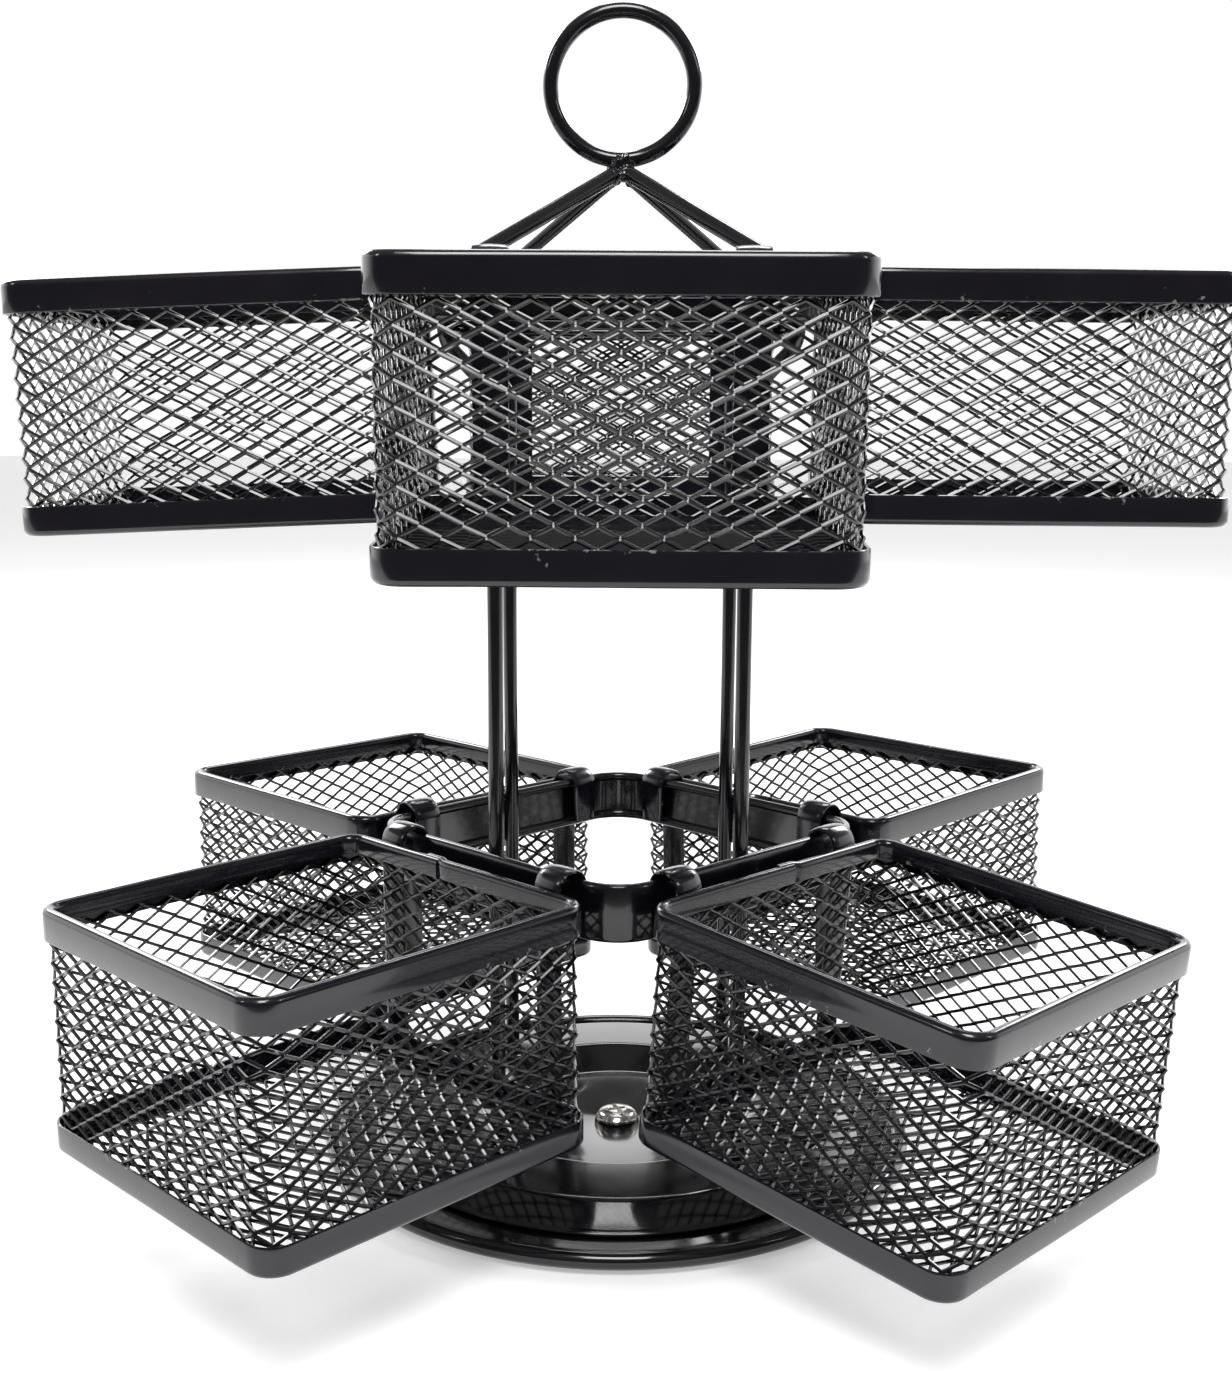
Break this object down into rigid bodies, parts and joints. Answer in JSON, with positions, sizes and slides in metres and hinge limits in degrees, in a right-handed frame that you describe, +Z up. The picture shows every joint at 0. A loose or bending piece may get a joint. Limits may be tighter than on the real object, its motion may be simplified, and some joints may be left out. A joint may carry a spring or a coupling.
{
  "type": "lazy susan organizer",
  "caption": "Two-tier turning organizer: hanging mesh baskets on a square-banded wire frame that turns on a ball-bearing base, with a ring handle.",
  "frame": {"origin": "on the turning axis, on the surface that the foot pads stand on", "axes": "+Z up along the turning axis, -Y towards the front, where one upper basket and the corner of the lower band face the viewer"},
  "size_m": [0.2941, 0.294, 0.3033],
  "materials": {
    "frame_paint": "gloss black stoved paint on steel strip, wire and pressings",
    "mesh_paint": "gloss black stoved paint on expanded metal",
    "screw_steel": "bright nickel-plated steel",
    "race_steel": "pressed bare steel, lightly greased",
    "ball_steel": "polished steel",
    "washer_nylon": "natural nylon",
    "pad_rubber": "soft black foam rubber"
  },
  "bodies": {
    "base": {"base_pan": "frame_paint", "foot_pads": "pad_rubber", "lower_race": "race_steel", "clinch_nut": "race_steel", "spacer_washer": "washer_nylon", "pivot_screw": "screw_steel"},
    "ball_ring": {"ball_cage": "washer_nylon", "bearing_balls": "ball_steel"},
    "turntable": {"turntable_pan": "frame_paint", "upper_race": "race_steel", "lower_band": "frame_paint", "upper_band": "frame_paint", "wire_front_left": "frame_paint", "wire_back_left": "frame_paint", "wire_front_right": "frame_paint", "wire_back_right": "frame_paint", "ring_handle": "frame_paint", "apex_weld": "frame_paint", "foot_welds": "frame_paint", "lower_band_welds": "frame_paint", "upper_band_welds": "frame_paint"},
    "lower_front_left_basket": {"lower_front_left_rim": "frame_paint", "lower_front_left_mesh": "mesh_paint", "lower_front_left_base_rim": "frame_paint", "lower_front_left_hangers": "frame_paint"},
    "lower_front_right_basket": {"lower_front_right_rim": "frame_paint", "lower_front_right_mesh": "mesh_paint", "lower_front_right_base_rim": "frame_paint", "lower_front_right_hangers": "frame_paint"},
    "lower_back_left_basket": {"lower_back_left_rim": "frame_paint", "lower_back_left_mesh": "mesh_paint", "lower_back_left_base_rim": "frame_paint", "lower_back_left_hangers": "frame_paint"},
    "lower_back_right_basket": {"lower_back_right_rim": "frame_paint", "lower_back_right_mesh": "mesh_paint", "lower_back_right_base_rim": "frame_paint", "lower_back_right_hangers": "frame_paint"},
    "upper_front_basket": {"upper_front_rim": "frame_paint", "upper_front_mesh": "mesh_paint", "upper_front_base_rim": "frame_paint", "upper_front_hangers": "frame_paint"},
    "upper_left_basket": {"upper_left_rim": "frame_paint", "upper_left_mesh": "mesh_paint", "upper_left_base_rim": "frame_paint", "upper_left_hangers": "frame_paint"},
    "upper_right_basket": {"upper_right_rim": "frame_paint", "upper_right_mesh": "mesh_paint", "upper_right_base_rim": "frame_paint", "upper_right_hangers": "frame_paint"},
    "upper_back_basket": {"upper_back_rim": "frame_paint", "upper_back_mesh": "mesh_paint", "upper_back_base_rim": "frame_paint", "upper_back_hangers": "frame_paint"}
  },
  "joints": [
    {"name": "turntable_spin", "type": "hinge", "parent": "base", "child": "turntable", "pos_m": [0, 0, 0.0092], "axis": [0, 0, 1], "continuous": true},
    {"name": "ball_ring_spin", "type": "hinge", "parent": "base", "child": "ball_ring", "pos_m": [0, 0, 0.006], "axis": [0, 0, 1], "continuous": true},
    {"name": "lower_front_left_lift", "type": "slide", "parent": "turntable", "child": "lower_front_left_basket", "axis": [0, 0, 1], "range_m": [0, 0.03]},
    {"name": "lower_front_right_lift", "type": "slide", "parent": "turntable", "child": "lower_front_right_basket", "axis": [0, 0, 1], "range_m": [0, 0.03]},
    {"name": "lower_back_left_lift", "type": "slide", "parent": "turntable", "child": "lower_back_left_basket", "axis": [0, 0, 1], "range_m": [0, 0.03]},
    {"name": "lower_back_right_lift", "type": "slide", "parent": "turntable", "child": "lower_back_right_basket", "axis": [0, 0, 1], "range_m": [0, 0.03]},
    {"name": "upper_front_lift", "type": "slide", "parent": "turntable", "child": "upper_front_basket", "axis": [0, 0, 1], "range_m": [0, 0.03]},
    {"name": "upper_left_lift", "type": "slide", "parent": "turntable", "child": "upper_left_basket", "axis": [0, 0, 1], "range_m": [0, 0.03]},
    {"name": "upper_right_lift", "type": "slide", "parent": "turntable", "child": "upper_right_basket", "axis": [0, 0, 1], "range_m": [0, 0.03]},
    {"name": "upper_back_lift", "type": "slide", "parent": "turntable", "child": "upper_back_basket", "axis": [0, 0, 1], "range_m": [0, 0.03]}
  ],
  "couplings": [
    {"joint": "ball_ring_spin", "follows": "turntable_spin", "ratio": 0.5}
  ]
}
